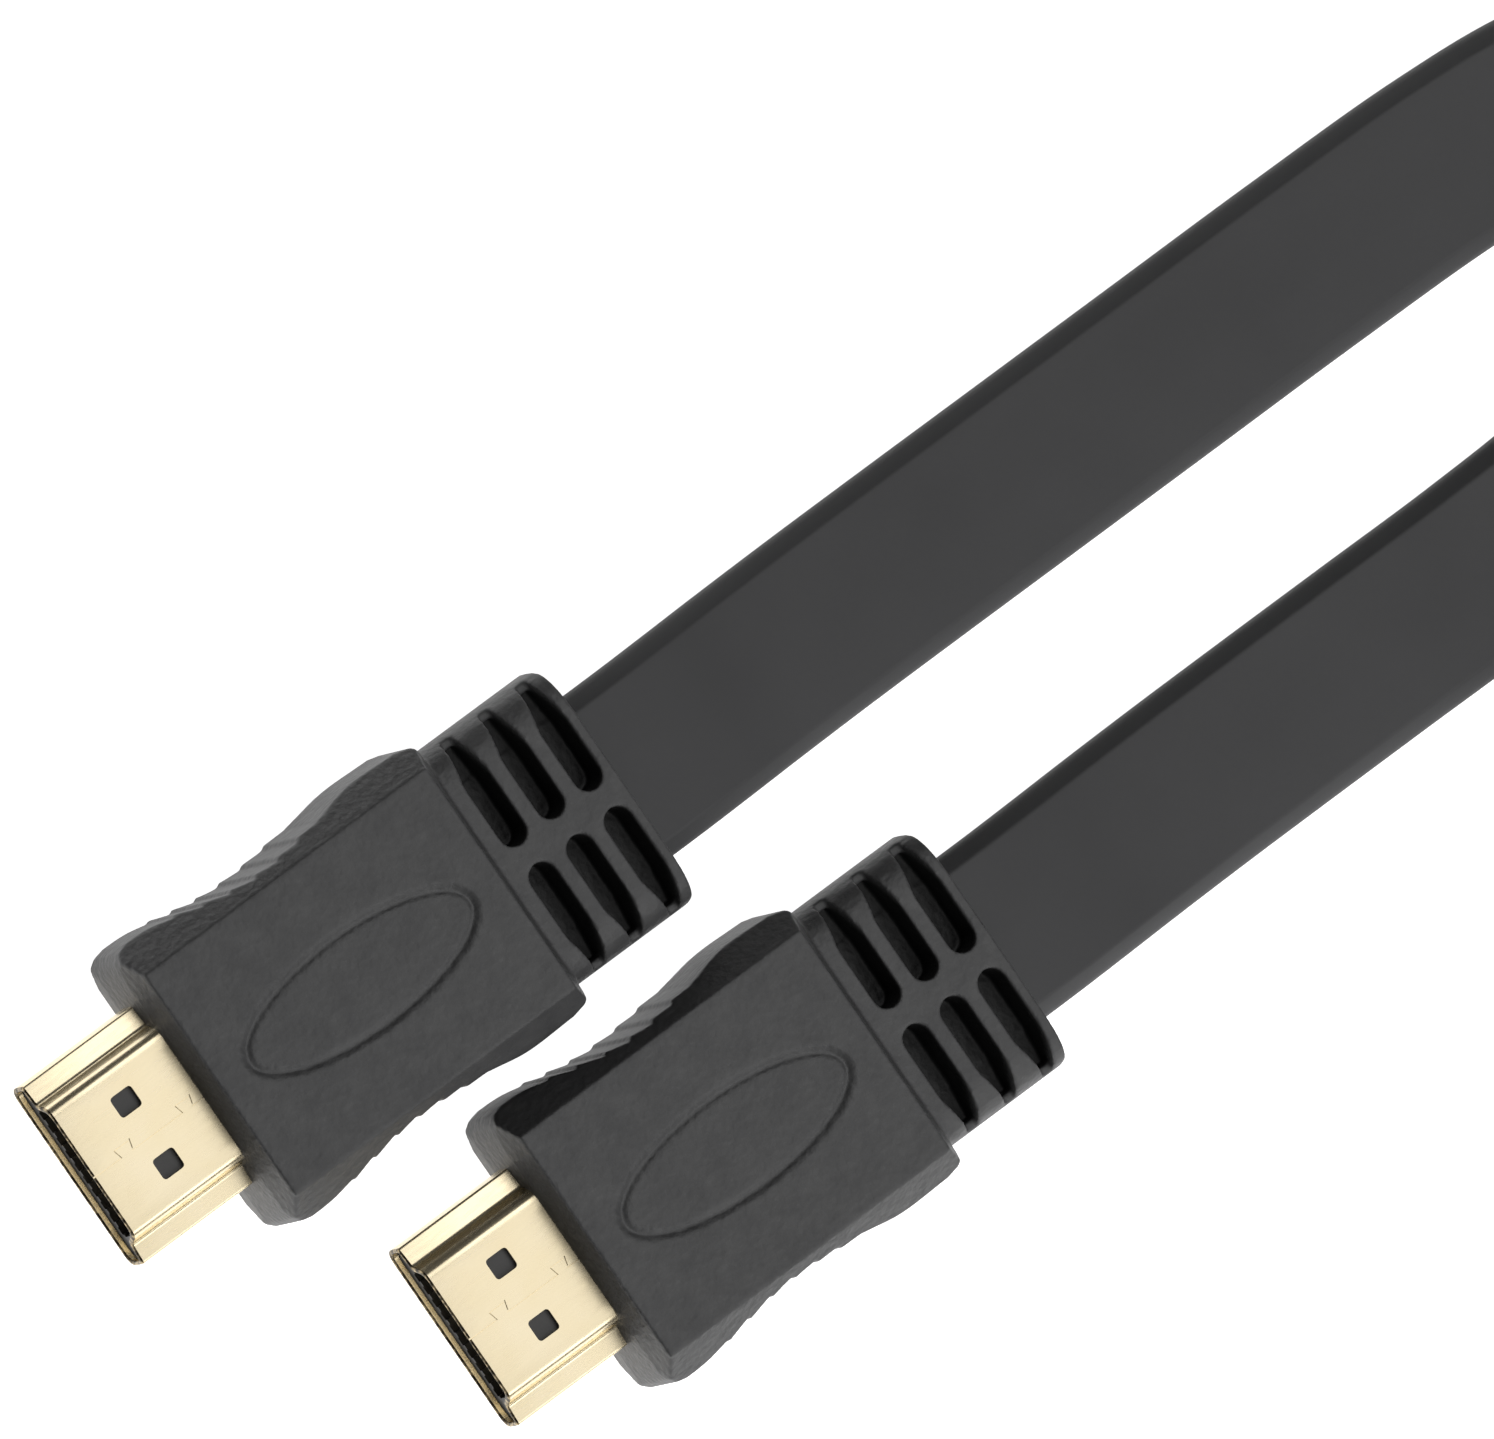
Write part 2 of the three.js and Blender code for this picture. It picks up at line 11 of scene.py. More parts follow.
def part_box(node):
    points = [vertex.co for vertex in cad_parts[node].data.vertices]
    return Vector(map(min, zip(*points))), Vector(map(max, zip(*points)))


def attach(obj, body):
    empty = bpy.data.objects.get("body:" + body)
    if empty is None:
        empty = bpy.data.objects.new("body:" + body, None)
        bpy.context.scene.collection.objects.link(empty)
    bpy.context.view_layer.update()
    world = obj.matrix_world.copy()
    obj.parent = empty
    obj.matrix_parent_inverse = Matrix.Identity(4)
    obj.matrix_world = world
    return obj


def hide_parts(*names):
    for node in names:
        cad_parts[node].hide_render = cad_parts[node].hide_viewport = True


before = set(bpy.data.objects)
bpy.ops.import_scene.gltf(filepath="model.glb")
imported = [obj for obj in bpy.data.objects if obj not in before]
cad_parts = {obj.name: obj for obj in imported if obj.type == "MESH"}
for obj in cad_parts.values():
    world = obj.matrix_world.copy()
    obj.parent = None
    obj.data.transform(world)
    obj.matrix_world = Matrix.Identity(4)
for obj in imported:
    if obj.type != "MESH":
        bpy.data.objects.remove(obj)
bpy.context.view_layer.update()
mm = 0.001


# Camera: so far away that both plugs show the same size. It leans back towards their tips and a
# little to one side, and it is rolled so that the cable runs up to the right.
picture_width = 1494
pixels_per_mm = 15.5
tip_lean = math.radians(17)
side_lean = math.radians(7)
roll = math.radians(36.5)
lens = 1500
sensor = 36
looked_at = Vector((25.1, 9.55, 5)) * mm

along_cable = Vector((
    math.cos(tip_lean),
    math.sin(tip_lean) * math.sin(side_lean),
    math.sin(tip_lean) * math.cos(side_lean),
))
across_cable = Vector((0, -math.cos(side_lean), math.sin(side_lean)))
right = math.cos(roll) * along_cable + math.sin(roll) * across_cable
up = math.sin(roll) * along_cable - math.cos(roll) * across_cable
towards_camera = right.cross(up)
distance = picture_width / pixels_per_mm * mm * lens / sensor

camera_data = bpy.data.cameras.new("camera")
camera_data.lens = lens
camera_data.sensor_width = sensor
camera_data.clip_start = 0.01
camera_data.clip_end = 40
camera = bpy.data.objects.new("camera", camera_data)
camera.matrix_world = (
    Matrix.Translation(looked_at + towards_camera * distance)
    @ Matrix((right, up, towards_camera)).transposed().to_4x4()
)
bpy.context.scene.collection.objects.link(camera)
bpy.context.scene.camera = camera


# Cord: flat multicore cord with a jacket of soft PVC, extruded through a die with bevelled
# edges. It lies flat behind the plugs, turns onto its edge and is wound double.
cord_length = 1410
cord_width = 12.6
cord_thickness = 3.2
cord_bevel = (1.2, 1.1)
cord_exit_height = 3.8
inside_relief = 1
coil_centre = np.array((123.2, -66.5))
coil_radius = 68.5
strand_spacing = 4.8
points_per_turn = 16
bight_points = 7
lead_tilt = 66
tilting_turn = math.radians(45)
tie_angle = math.radians(115)
tie_strap = 0.6
tie_clearance = 0.04

# Where the cord leaves each strain relief, in millimetres
exits = {}
for plug in "ab":
    low_corner, high_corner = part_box(f"moulding_{plug}")
    exits[plug] = (high_corner[0] / mm, (low_corner[1] + high_corner[1]) / 2 / mm)

# Laid out one by one: distance behind the strain relief, shift sideways, height and tilt in
# degrees
flat = cord_thickness / 2
laid = {
    "a": [
        (-inside_relief, 0, cord_exit_height, 0), (4, 0, 3.7, 0), (8, 0, 3.2, 0),
        (13, 0, 2.4, 0), (19, 0, 1.8, 0), (26, 0, flat, 0), (36, 0, flat, 0),
        (48, 0, flat, 0), (60, 0, flat, 0), (72, -0.2, flat, 0), (80, -0.9, 0, 3),
        (88, -2.9, 0, 14), (96, -5.9, 0, 34), (103, -8.4, 0, 54),
    ],
    "b": [
        (-inside_relief, 0, cord_exit_height, 0), (4, 0, 3.7, 0), (8, 0, 3.2, 0),
        (13, 0, 2.4, 0), (19, 0, 1.8, 0), (26, 0, flat, 0), (35, 0, flat, 0),
        (44, 0, flat, 0), (52, 0.4, 0, 4), (60, 1.8, 0, 14), (68, 4.2, 0, 30),
        (76, 6.7, 0, 45), (84, 8.4, 0, 58),
    ],
}


def standing_height(tilt):
    turn = math.radians(tilt)
    corners = (
        (cord_width / 2, flat - cord_bevel[1]),
        (cord_width / 2 - cord_bevel[0], flat),
    )
    return max(across * math.sin(turn) + through * math.cos(turn) for across, through in corners)


def laid_points(plug):
    x, y = exits[plug]
    return [
        (x + along, y + sideways, standing_height(tilt) if tilt else height, tilt)
        for along, sideways, height, tilt in laid[plug]
    ]


def over_tie(turned):
    """How much a strand is lifted where it passes over the strap."""
    away = abs((turned - tie_angle + math.pi) % (2 * math.pi) - math.pi)
    share = max(0.0, min(1.0, 1.6 - away / math.radians(20)))
    return (tie_strap + tie_clearance) * share * share * (3 - 2 * share)


def wound_points(start_radius, sweep):
    count = round(points_per_turn * sweep / (2 * math.pi))
    points = []
    for i in range(count + 1):
        turned = sweep * i / count
        radius = start_radius - strand_spacing * turned / math.pi
        upright = math.sin(math.pi / 2 * min(turned / tilting_turn, 1))
        tilt = lead_tilt + (90 - lead_tilt) * upright
        points.append((
            coil_centre[0] + radius * math.sin(turned),
            coil_centre[1] + radius * math.cos(turned),
            standing_height(tilt) + over_tie(turned),
            tilt,
        ))
    return points


def bight(sweep):
    """The crossing in the coil's hole: two half circles between the strands' inner ends."""
    bend = (coil_radius - strand_spacing * sweep / math.pi) / 2
    turns = [math.pi * i / bight_points for i in range(1, bight_points + 1)]
    halves = [(1, turned) for turned in turns]
    halves += [(-1, turned) for turned in reversed(turns[:-1])]
    return [
        (
            coil_centre[0] + part * bend * (math.sin(sweep) + math.sin(sweep + turned)),
            coil_centre[1] + part * bend * (math.cos(sweep) + math.cos(sweep + turned)),
            standing_height(90),
            90,
        )
        for part, turned in halves
    ]


def smooth_line(points, steps):
    """A centripetal Catmull-Rom line through points, whose first three columns are a place."""
    points = np.array(points, float)
    padded = np.vstack([2 * points[0] - points[1], points, 2 * points[-1] - points[-2]])
    line = []
    for before, start, end, after in zip(padded, padded[1:], padded[2:], padded[3:]):
        spans = [
            max(np.linalg.norm((b - a)[:3]) ** 0.5, 1e-6)
            for a, b in ((before, start), (start, end), (end, after))
        ]
        leaving = (start - before) / spans[0] - (end - before) / (spans[0] + spans[1])
        leaving = (leaving + (end - start) / spans[1]) * spans[1]
        arriving = (after - end) / spans[2] - (after - start) / (spans[1] + spans[2])
        arriving = (arriving + (end - start) / spans[1]) * spans[1]
        for t in np.arange(steps) / steps:
            line.append(
                (2 * t**3 - 3 * t**2 + 1) * start + (t**3 - 2 * t**2 + t) * leaving
                + (3 * t**2 - 2 * t**3) * end + (t**3 - t**2) * arriving
            )
    return np.array(line + [points[-1]])


def route_for(sweep):
    first = laid_points("a") + wound_points(coil_radius, sweep)
    second = laid_points("b") + wound_points(coil_radius - strand_spacing, sweep - math.pi)
    crossing = bight(sweep)
    return first + crossing + second[::-1], len(first) + len(crossing) / 2


def line_length(line):
    return np.linalg.norm(np.diff(line[:, :3], axis=0), axis=1).sum()


fewest, most = 1.1 * math.pi, 8 * math.pi
for _ in range(20):
    sweep = (fewest + most) / 2
    if line_length(smooth_line(route_for(sweep)[0], 4)) < cord_length + 2 * inside_relief:
        fewest = sweep
    else:
        most = sweep

steps_per_point = 10
route_points, turning_point = route_for(sweep)
route = smooth_line(route_points, steps_per_point)
turning_step = int(turning_point * steps_per_point)


def rounded(corners, radius, steps=4):
    """A closed outline with each corner rounded. radius is one value, or one for each corner."""
    corners = [np.array(corner, float) for corner in corners]
    radii = [radius] * len(corners) if np.isscalar(radius) else radius
    outline = []
    for i, corner in enumerate(corners):
        back = corners[i - 1] - corner
        ahead = corners[(i + 1) % len(corners)] - corner
        lengths = np.linalg.norm(back), np.linalg.norm(ahead)
        cut = min(radii[i], 0.49 * lengths[0], 0.49 * lengths[1])
        if cut <= 0:
            outline.append(corner)
            continue
        start, end = corner + back / lengths[0] * cut, corner + ahead / lengths[1] * cut
        for t in np.linspace(0, 1, steps + 1):
            outline.append((1 - t) ** 2 * start + 2 * t * (1 - t) * corner + t**2 * end)
    return np.array(outline)


side_round = 0.5
bevel_round = 0.2


def cord_section():
    side, top = cord_width / 2, cord_thickness / 2
    wide, high = cord_bevel
    radii = (side_round, side_round, bevel_round, bevel_round)
    corners = [
        (side, -top + high), (side, top - high), (side - wide, top), (-side + wide, top),
        (-side, top - high), (-side, -top + high), (-side + wide, -top), (side - wide, -top),
    ]
    return rounded(corners, radii * 2, 3)


def loft(name, rings, capped=True):
    """A mesh through rings of points in millimetres, each ring as long as the next."""
    mesh = bpy.data.meshes.new(name)
    count = len(rings[0])
    faces = []
    for i in range(len(rings) - 1 if capped else len(rings)):
        this, following = i * count, (i + 1) % len(rings) * count
        for j in range(count):
            after = (j + 1) % count
            faces.append((this + j, this + after, following + after, following + j))
    if capped:
        faces.append(tuple(reversed(range(count))))
        faces.append(tuple(range((len(rings) - 1) * count, len(rings) * count)))
    mesh.from_pydata((np.concatenate(rings) * mm).tolist(), [], faces)
    shape = bmesh.new()
    shape.from_mesh(mesh)
    bmesh.ops.recalc_face_normals(shape, faces=shape.faces)
    shape.to_mesh(mesh)
    shape.free()
    piece = bpy.data.objects.new(name, mesh)
    bpy.context.scene.collection.objects.link(piece)
    return piece


def cord_rings():
    section = cord_section()
    places = route[:, :3]
    tangents = np.gradient(places, axis=0)
    tangents /= np.linalg.norm(tangents, axis=1)[:, None]
    rings = []
    for i, (place, tangent, tilt) in enumerate(zip(places, tangents, np.radians(route[:, 3]))):
        level = np.array((-tangent[1], tangent[0], 0)) * (1 if i < turning_step else -1)
        side = level / np.linalg.norm(level) * math.cos(tilt)
        side[2] = math.sin(tilt)
        side -= side.dot(tangent) * tangent
        side /= np.linalg.norm(side)
        face = np.cross(tangent, side)
        rings.append(place + section[:, :1] * side + section[:, 1:] * face)
    return rings


def shade_smooth(piece, sharpest=40):
    """Smooth shading with the edges over sharpest degrees left sharp."""
    mesh = piece.data
    mesh.shade_smooth()
    mesh.set_sharp_from_angle(angle=math.radians(sharpest))


def linear(code):
    """The linear colour of an sRGB hex code such as 3A3A3B."""
    parts = [int(code[i:i + 2], 16) / 255 for i in (0, 2, 4)]
    return tuple(
        p / 12.92 if p <= 0.04045 else ((p + 0.055) / 1.055) ** 2.4 for p in parts
    ) + (1.0,)


def add_node(material, kind, inputs=None, links=None, **settings):
    """Adds a node with its settings, its socket values, and links from other sockets."""
    node = material.node_tree.nodes.new(kind)
    for name, value in settings.items():
        setattr(node, name, value)
    for socket, value in (inputs or {}).items():
        node.inputs[socket].default_value = value
    for socket, source in (links or {}).items():
        material.node_tree.links.new(source, node.inputs[socket])
    return node


def new_material(name):
    material = bpy.data.materials.new(name)
    material.use_nodes = True
    material.node_tree.nodes.clear()
    return material


def per_mm(size):
    """The texture scale that repeats a pattern every size millimetres."""
    return 1 / (size * mm)


# Soft PVC, extruded and matt: it looks near black and even, with a fine grain. The real grain is
# too fine to show, so it is drawn 0.35 mm coarse.
def extruded_pvc():
    material = new_material("extruded_soft_pvc")
    place = add_node(material, "ShaderNodeTexCoord").outputs["Object"]
    grain = add_node(
        material, "ShaderNodeTexNoise", {"Scale": per_mm(0.35), "Detail": 3.0},
        {"Vector": place})
    cloud = add_node(
        material, "ShaderNodeTexNoise", {"Scale": per_mm(9), "Detail": 2.0},
        {"Vector": place})
    tone = add_node(
        material, "ShaderNodeMix", {"A": linear("3A3A3B"), "B": linear("434344")},
        {"Factor": cloud.outputs["Fac"]}, data_type="RGBA")
    dullness = add_node(
        material, "ShaderNodeMapRange", {"To Min": 0.5, "To Max": 0.6},
        {"Value": grain.outputs["Fac"]})
    relief = add_node(
        material, "ShaderNodeBump", {"Strength": 0.2, "Distance": 0.02 * mm},
        {"Height": grain.outputs["Fac"]})
    surface = add_node(
        material, "ShaderNodeBsdfPrincipled", {"IOR": 1.53, "Specular IOR Level": 0.3},
        {
            "Base Color": tone.outputs["Result"],
            "Roughness": dullness.outputs["Result"],
            "Normal": relief.outputs["Normal"],
        })
    add_node(
        material, "ShaderNodeOutputMaterial", links={"Surface": surface.outputs["BSDF"]})
    return material


cord = loft("flat_cord", cord_rings())
shade_smooth(cord)
cord.data.materials.append(extruded_pvc())
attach(cord, "root")
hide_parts("ribbon_a", "ribbon_b", "coil")


# Mouldings: grip body and strain relief in one piece of soft PVC, moulded over the plug's rear.
# The sides are scooped and ribbed for two fingers, and three rows of slots let the rear bend.
body_length = 25
body_height = 10.5
plate_width = 17.2
wall_low, wall_high = 2.8, 7.7
flare, waist, bulge = 10.7, 9.35, 10.4
front_slope, rear_slope = 0.45, 1.1
grip_rib_start = 5.0
grip_rib_pitch = 1.9
grip_rib_count = 6
grip_rib_height = 0.24
relief_length = 9.85
relief_width = 18.3
relief_low, relief_high = 1.4, 8.8
relief_edge = 3.4
relief_corner = 0.6
slot_count = 3
slot_width = 2
slot_tip = (0.4, 0.4)
slot_pitch = 3.15
slot_setback = 1.8
slot_web = 1.6
slot_core_width = 11.6
slot_core_floors = (1.85, 5.75)
slot_side_floors = (4.6, 5.6)
slot_rail = (3.5, 6.7)
slot_rail_width = 0.85
oval_centre = 12.2
oval_size = (9.25, 3.3)
oval_panel_depth = 0.12
oval_groove_width = 0.3
oval_groove_depth = 0.22
moulding_voxel = 0.12
moulding_share_kept = 0.45
moulding_length = body_length + relief_length
slot_middle = body_length + slot_setback + slot_pitch
slot_reach = slot_pitch + slot_width / 2 + 0.1


def prism(name, outline, axis, low, high):
    """A straight prism. Its outline is in the plane across axis, in the order X, Y, Z."""
    rings = []
    for level in (low, high):
        ring = np.insert(np.array(outline, float), "XYZ".index(axis), level, axis=1)
        rings.append(ring)
    return loft(name, rings)


def settled(piece):
    """Applies the piece's modifiers."""
    graph = bpy.context.evaluated_depsgraph_get()
    made = bpy.data.meshes.new_from_object(piece.evaluated_get(graph))
    old = piece.data
    piece.modifiers.clear()
    piece.data = made
    bpy.data.meshes.remove(old)
    return piece


def combine(piece, operation, *tools):
    """Joins, cuts or trims piece with each tool, and deletes the tools."""
    for tool in tools:
        change = piece.modifiers.new("combine", "BOOLEAN")
        change.operation = operation
        change.solver = "EXACT"
        change.object = tool
        settled(piece)
        bpy.data.objects.remove(tool)
    return piece


def mirrored(outline):
    """The outline of one side, from front to rear, closed by its mirror image."""
    other = [(x, -y) for x, y in reversed(outline)]
    return list(outline) + other


def body_plan():
    corner = 1.4
    scoop = smooth_line(
        [
            (corner, flare, 0), (corner + 1.8, flare - 0.08, 0), (6.45, 9.9, 0),
            (9.5, waist + 0.03, 0), (11.5, waist - 0.02, 0), (13.5, waist + 0.12, 0),
            (16.5, 9.87, 0), (19.5, bulge, 0), (body_length - 1.6, bulge - 0.08, 0),
        ],
        60,
    )
    side = [(0, flare - corner), (0.1 * corner, flare - 0.5 * corner),
            (0.4 * corner, flare - 0.15 * corner)]
    for x, y, _ in scoop:
        rib = (x - grip_rib_start) / grip_rib_pitch
        if 0 <= rib < grip_rib_count:
            y += grip_rib_height * (0.8 - rib % 1)
        side.append((x, y))
    side += [(body_length - 0.6, bulge - 0.35), (body_length - 0.15, bulge - 0.9),
             (body_length, bulge - 1.6)]
    return mirrored(side)


def grip_body():
    side, plate = flare + 0.05, plate_width / 2
    section = [
        (plate, 0), (side, wall_low), (side, wall_high), (plate, body_height),
        (-plate, body_height), (-side, wall_high), (-side, wall_low), (-plate, 0),
    ]
    profile = [
        (front_slope, 0), (body_length - rear_slope, 0), (body_length, wall_low),
        (body_length, wall_high), (body_length - rear_slope, body_height),
        (front_slope, body_height), (0, wall_high), (0, wall_low),
    ]
    bar = prism("bar", section, "X", -1, body_length + 1)
    plan = prism("plan", body_plan(), "Z", -1, body_height + 1)
    sides = prism("profile", profile, "Y", -2 * flare, 2 * flare)
    return combine(bar, "INTERSECT", plan, sides)


def strain_relief():
    start = body_length - rear_slope - 1
    half = relief_width / 2
    section = rounded(
        [(half, relief_low), (half, relief_high), (-half, relief_high), (-half, relief_low)],
        1.15 * relief_edge, 12)
    plan = rounded(
        [(start, -half), (moulding_length, -half), (moulding_length, half), (start, half)],
        (0, relief_corner, relief_corner, 0), 6)
    bar = prism("relief", section, "X", start, moulding_length)
    return combine(bar, "INTERSECT", prism("plan", plan, "Z", -1, body_height + 1))


def slot_outline(middle, deep):
    reach, taper, out = slot_width / 2, slot_core_width / 2, relief_width / 2 + 1
    tip = middle + slot_tip[0]
    outer = [(middle + reach, taper), (tip + slot_tip[1] / 2, out),
             (tip - slot_tip[1] / 2, out), (middle - reach, taper)]
    if deep:
        return outer
    inner = slot_web / 2 + reach
    turns = np.linspace(math.pi, 2 * math.pi, 9)
    end = [(middle + reach * math.cos(t), inner + reach * math.sin(t)) for t in turns]
    return outer + end


def slot_cutters():
    cutters = []
    for i in range(slot_count):
        middle = body_length + slot_setback + i * slot_pitch
        for side in (1, -1):
            for deep, floors in ((False, slot_core_floors), (True, slot_side_floors)):
                outline = [(x, side * y) for x, y in slot_outline(middle, deep)]
                cutters.append(prism("slot", outline, "Z", floors[1], body_height))
                cutters.append(prism("slot", outline, "Z", -1, floors[0]))
    edge = relief_width / 2
    for cutter in cutters:
        for side in (1, -1):
            inside, outside = side * (edge - slot_rail_width), side * (edge + 2)
            rail = [(inside, slot_rail[0]), (outside, slot_rail[0]),
                    (outside, slot_rail[1]), (inside, slot_rail[1])]
            bar = prism("rail", rail, "X", body_length - 1, moulding_length + 1)
            combine(cutter, "DIFFERENCE", bar)
    return cutters


def engrave_oval(mesh):
    """Sinks a plain oval panel into the top face, with a line around it."""
    count = len(mesh.vertices)
    places = np.empty(3 * count)
    mesh.vertices.foreach_get("co", places)
    places = places.reshape(-1, 3)
    x = (places[:, 0] / mm - oval_centre) / oval_size[0]
    y = places[:, 1] / mm / oval_size[1]
    size = np.hypot(x, y)
    slope = np.hypot(x / oval_size[0], y / oval_size[1]) / np.maximum(size, 1e-6)
    away = (size - 1) / np.maximum(slope, 1e-6)
    on_top = places[:, 2] > (body_height - 0.2) * mm
    sunk = oval_groove_depth * np.exp(-(away / oval_groove_width) ** 2)
    sunk += oval_panel_depth / (1 + np.exp(8 * away / oval_groove_width))
    places[:, 2] -= np.where(on_top, sunk, 0) * mm
    mesh.vertices.foreach_set("co", places.ravel())


def mark_painted_slot_shade(mesh):
    """Stores the painted slot shade: how deep in a slot each point lies, 0 outside, 1 well below
    the outer face.
    """
    places = np.empty(3 * len(mesh.vertices))
    mesh.vertices.foreach_get("co", places)
    x, y, z = (places.reshape(-1, 3) / mm).T
    curve = 0.49 * (relief_high - relief_low)  # how far the rounded edges reach in
    across = np.clip((relief_width / 2 - abs(y)) / curve, 0, 1)
    down = np.clip(np.minimum(relief_high - z, z - relief_low) / curve, 0, 1)
    inward = np.sqrt(across) + np.sqrt(down) - 1
    # The painted shade grows from 0 to 1 as a point sinks into the slots.
    depth = np.clip((inward - 0.15) / 0.25, 0, 1) * (abs(x - slot_middle) < slot_reach)
    mesh.attributes.new("slot_painted_shade", "FLOAT", "POINT").data.foreach_set("value", depth)


def moulding_mesh():
    piece = combine(grip_body(), "UNION", strain_relief())
    combine(piece, "DIFFERENCE", *slot_cutters())
    fine = piece.modifiers.new("voxels", "REMESH")
    fine.mode = "VOXEL"
    fine.voxel_size = moulding_voxel * mm
    soften = piece.modifiers.new("soften", "SMOOTH")
    soften.factor = 0.5
    soften.iterations = 8
    settled(piece)
    engrave_oval(piece.data)
    thin = piece.modifiers.new("thin", "DECIMATE")
    thin.ratio = moulding_share_kept
    settled(piece)
    piece.data.shade_smooth()
    mesh = piece.data
    mark_painted_slot_shade(mesh)
    bpy.data.objects.remove(piece)
    return mesh


# Soft PVC from a spark-eroded mould: near black and satin, with soft blotches of 1 to 2 mm. The
# real grain is too fine to show, so it is drawn 0.45 mm coarse. Deep in the slots the colour
# turns blacker: painted shade on their walls and floors.
def moulded_pvc():
    material = new_material("moulded_soft_pvc")
    place = add_node(material, "ShaderNodeTexCoord").outputs["Object"]
    grain = add_node(
        material, "ShaderNodeTexNoise", {"Scale": per_mm(0.45), "Detail": 4.0},
        {"Vector": place})
    pits = add_node(
        material, "ShaderNodeTexVoronoi", {"Scale": per_mm(0.6)}, {"Vector": place})
    cloud = add_node(
        material, "ShaderNodeTexNoise", {"Scale": per_mm(1.6), "Detail": 4.0},
        {"Vector": place})
    tone = add_node(
        material, "ShaderNodeMix", {"A": linear("363637"), "B": linear("4E4E4E")},
        {"Factor": cloud.outputs["Fac"]}, data_type="RGBA")
    # Painted shade: deep in the slots the tone is blended towards a near black, 121212.
    slot_shade_mask = add_node(material, "ShaderNodeAttribute", attribute_name="slot_painted_shade")
    tone_and_painted_shade = add_node(
        material, "ShaderNodeMix", {"B": linear("121212")},
        {"Factor": slot_shade_mask.outputs["Fac"], "A": tone.outputs["Result"]}, data_type="RGBA")
    dullness = add_node(
        material, "ShaderNodeMapRange", {"To Min": 0.45, "To Max": 0.6},
        {"Value": grain.outputs["Fac"]})
    texture = add_node(
        material, "ShaderNodeMath", {1: 0.5}, {0: pits.outputs["Distance"]},
        operation="MULTIPLY")
    height = add_node(
        material, "ShaderNodeMath",
        links={0: grain.outputs["Fac"], 1: texture.outputs["Value"]}, operation="ADD")
    relief = add_node(
        material, "ShaderNodeBump", {"Strength": 0.7, "Distance": 0.09 * mm},
        {"Height": height.outputs["Value"]})
    surface = add_node(
        material, "ShaderNodeBsdfPrincipled", {"IOR": 1.53, "Specular IOR Level": 0.4},
        {
            "Base Color": tone_and_painted_shade.outputs["Result"],
            "Roughness": dullness.outputs["Result"],
            "Normal": relief.outputs["Normal"],
        })
    add_node(
        material, "ShaderNodeOutputMaterial", links={"Surface": surface.outputs["BSDF"]})
    return material


def plug_place(plug):
    """The middle of the moulding's front face, on the ground."""
    low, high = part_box(f"moulding_{plug}")
    return Vector((low[0], (low[1] + high[1]) / 2, 0))


def place_on_plugs(name, mesh):
    for plug in "ab":
        piece = bpy.data.objects.new(f"{name}_of_plug_{plug}", mesh)
        piece.location = plug_place(plug)
        bpy.context.scene.collection.objects.link(piece)
        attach(piece, "root")
        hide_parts(f"{name}_{plug}")


moulding = moulding_mesh()
moulding.materials.clear()
moulding.materials.append(moulded_pvc())
place_on_plugs("moulding", moulding)


# Shells: brass sheet, drawn and closed along a dovetailed seam, then nickel and gold plated.
# Each broad face has two punched windows for the socket's springs.
shell_width = 13.9
shell_height = 4.45
shell_wall = 0.3
shell_reach = 9.15
shell_seat = 5
shell_middle = body_height / 2
shoulder_height = 2.7
shoulder_fall = 0.16
neck_width = 10.9
narrow_width = 9.3
crown_lean = 0.3
shell_corners = (0.9, 0.22, 0.25, 0.7)
rim_round = 0.15
window_size = (1.72, 1.55)
window_spacing = 4.84
window_setback = 3.83
seam_side = -0.3
seam_gap = 0.11
seam_depth = 0.1
dovetails = ((-7.05, -5.73), (-1.97, -0.74))
dovetail_reach = 0.65
dovetail_flare = 0.18


def plug_outline(inset):
    """The plug's outline seen from the front, its wide side down, drawn in by inset."""
    side = shell_width / 2 - inset
    low = shell_middle - shell_height / 2 + inset
    high = shell_middle + shell_height / 2 - inset
    shoulder = shell_middle - shell_height / 2 + shoulder_height - inset
    neck, crown = neck_width / 2 - inset, narrow_width / 2 - inset
    half = [
        (side, low), (side, shoulder - shoulder_fall), (neck, shoulder + shoulder_fall),
        (crown + crown_lean, high),
    ]
    corners = half + [(-y, z) for y, z in reversed(half)]
    radii = shell_corners
    return rounded(corners, radii + radii[::-1], 6)


def shell_rings():
    tip = -shell_reach
    stations = [(shell_seat, 0.0), (tip + rim_round, 0.0)]
    for turn in np.radians((30, 60, 90)):
        stations.append((
            tip + rim_round * (1 - math.sin(turn)), rim_round * (1 - math.cos(turn))))
    inner = [(x, shell_wall - inset) for x, inset in reversed(stations)]
    rings = []
    for x, inset in stations + inner:
        rings.append(np.insert(plug_outline(inset), 0, x, axis=1))
    return rings


def seam_cutter():
    line = [(-shell_reach - 1, seam_side)]
    for start, end in dovetails:
        line += [
            (start + dovetail_flare, seam_side), (start, seam_side + dovetail_reach),
            (end, seam_side + dovetail_reach), (end - dovetail_flare, seam_side),
        ]
    line.append((shell_seat, seam_side))
    line = np.array(line)
    directions = np.diff(line, axis=0)
    directions /= np.linalg.norm(directions, axis=1)[:, None]
    normals = np.stack([-directions[:, 1], directions[:, 0]], axis=1)
    joined = np.vstack([normals[:1], normals[:-1] + normals[1:], normals[-1:]])
    joined /= (joined * np.vstack([normals[:1], normals[1:], normals[-1:]])).sum(1)[:, None]
    outline = np.vstack([line + joined * seam_gap / 2, (line - joined * seam_gap / 2)[::-1]])
    top = shell_middle + shell_height / 2
    return prism("seam", outline, "Z", top - seam_depth, top + 1)


def window_cutters():
    length, width = window_size
    middle = -shell_reach + window_setback + length / 2
    cutters = []
    for side in (1, -1):
        y = side * window_spacing / 2
        outline = rounded(
            [(middle - length / 2, y - width / 2), (middle + length / 2, y - width / 2),
             (middle + length / 2, y + width / 2), (middle - length / 2, y + width / 2)],
            0.3, 4)
        cutters.append(prism("window", outline, "Z", 0, body_height))
    return cutters


